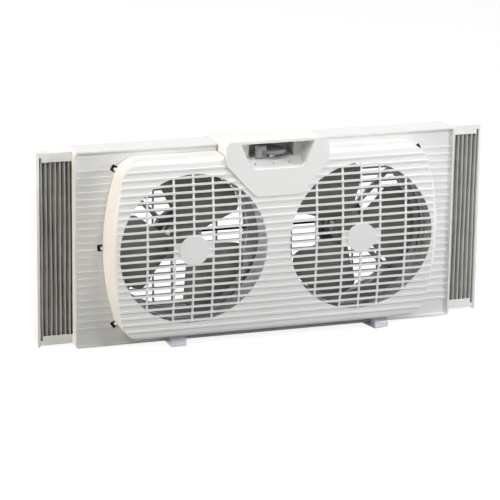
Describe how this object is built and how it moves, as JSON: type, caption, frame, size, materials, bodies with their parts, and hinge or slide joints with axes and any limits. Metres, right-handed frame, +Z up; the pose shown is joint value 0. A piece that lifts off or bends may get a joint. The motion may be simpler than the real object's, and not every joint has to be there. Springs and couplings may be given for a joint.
{
  "type": "window fan",
  "caption": "Twin window fan: two domed grilles with three-blade fans in one housing, carry handle over a rotary knob, pleated sliding side panels and swivel feet.",
  "frame": {"origin": "middle of the fan's box, on the surface that the feet stand on", "axes": "+X to the right along the housing, -Y towards the room (the front), +Z up"},
  "size_m": [0.707, 0.12, 0.313],
  "materials": {
    "housing_white": "satin",
    "cover_white": "satin",
    "knob_grey": "satin",
    "blade_grey": "satin",
    "foot_lavender": "satin",
    "pleat_grey": "matte",
    "steel": "brushed",
    "motor_grey": "satin",
    "copper": "satin",
    "brass": "satin",
    "black_plastic": "satin",
    "black_rubber": "matte"
  },
  "bodies": {
    "housing": {"front_housing": "housing_white", "rear_housing": "housing_white", "front_cover": "cover_white", "rear_cover": "housing_white", "control_housing": "cover_white", "rotary_switch": "black_plastic", "switch_nut": "steel", "motor_leads": "black_rubber", "cord_inlet": "black_rubber", "housing_screws": "steel", "motor_screws": "steel", "left_motor_can": "motor_grey", "right_motor_can": "motor_grey", "left_motor_cap": "motor_grey", "right_motor_cap": "motor_grey", "left_stator": "copper", "right_stator": "copper", "left_bearings": "brass", "right_bearings": "brass"},
    "left_fan": {"left_impeller": "blade_grey", "left_shaft": "steel", "left_rotor": "steel", "left_hub_nut": "blade_grey"},
    "right_fan": {"right_impeller": "blade_grey", "right_shaft": "steel", "right_rotor": "steel", "right_hub_nut": "blade_grey"},
    "knob": {"knob": "knob_grey", "switch_spindle": "steel"},
    "left_panel": {"left_end_rail": "housing_white", "left_top_rail": "housing_white", "left_bottom_rail": "housing_white", "left_accordion": "pleat_grey"},
    "right_panel": {"right_end_rail": "housing_white", "right_top_rail": "housing_white", "right_bottom_rail": "housing_white", "right_accordion": "pleat_grey"},
    "left_foot": {"left_foot": "foot_lavender"},
    "right_foot": {"right_foot": "foot_lavender"}
  },
  "joints": [
    {"name": "left_fan_spin", "type": "hinge", "parent": "housing", "child": "left_fan", "pos_m": [-0.132, 0, 0.156], "axis": [0, 1, 0], "continuous": true},
    {"name": "right_fan_spin", "type": "hinge", "parent": "housing", "child": "right_fan", "pos_m": [0.132, 0, 0.156], "axis": [0, 1, 0], "continuous": true},
    {"name": "knob_turn", "type": "hinge", "parent": "housing", "child": "knob", "pos_m": [0, -0.014, 0.29], "axis": [0, 0, 1], "range_deg": [0, 134]},
    {"name": "left_panel_slide", "type": "slide", "parent": "housing", "child": "left_panel", "axis": [-1, 0, 0], "range_m": [-0.0485, 0.116], "deforming": ["left_accordion"]},
    {"name": "right_panel_slide", "type": "slide", "parent": "housing", "child": "right_panel", "axis": [1, 0, 0], "range_m": [-0.0485, 0.116], "deforming": ["right_accordion"]},
    {"name": "left_foot_swivel", "type": "hinge", "parent": "housing", "child": "left_foot", "pos_m": [-0.147, 0.002, 0.002], "axis": [0, 0, 1], "range_deg": [-18, 18]},
    {"name": "right_foot_swivel", "type": "hinge", "parent": "housing", "child": "right_foot", "pos_m": [0.172, 0.002, 0.002], "axis": [0, 0, 1], "range_deg": [-32, 4]}
  ]
}
